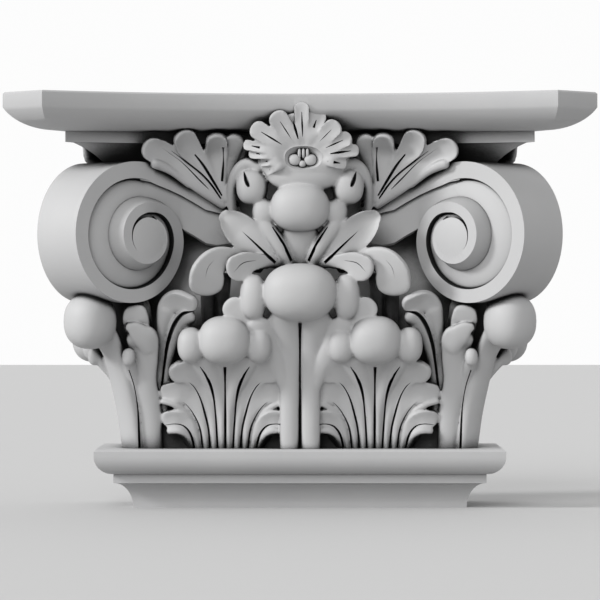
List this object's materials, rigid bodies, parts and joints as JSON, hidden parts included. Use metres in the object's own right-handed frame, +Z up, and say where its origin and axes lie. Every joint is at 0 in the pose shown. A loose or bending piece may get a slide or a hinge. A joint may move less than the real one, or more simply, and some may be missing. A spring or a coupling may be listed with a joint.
{
  "type": "corinthian pilaster capital",
  "caption": "Square Corinthian capital for a pilaster: moulded neck, tiers of acanthus leaves, corner volutes, a central flower and a hollow-sided abacus, cut flat at the wall.",
  "frame": {"origin": "centre of the neck's underside, which seats on the pilaster's shaft", "axes": "+Z up, -Y out of the front towards the viewer, +Y into the wall, +X along the wall"},
  "size_m": [0.436, 0.183, 0.308],
  "materials": {
    "primed_casting": "cast rigid foam with a smooth, matt, factory-primed off-white face"
  },
  "bodies": {
    "root": {"capital": "primed_casting"}
  },
  "joints": []
}
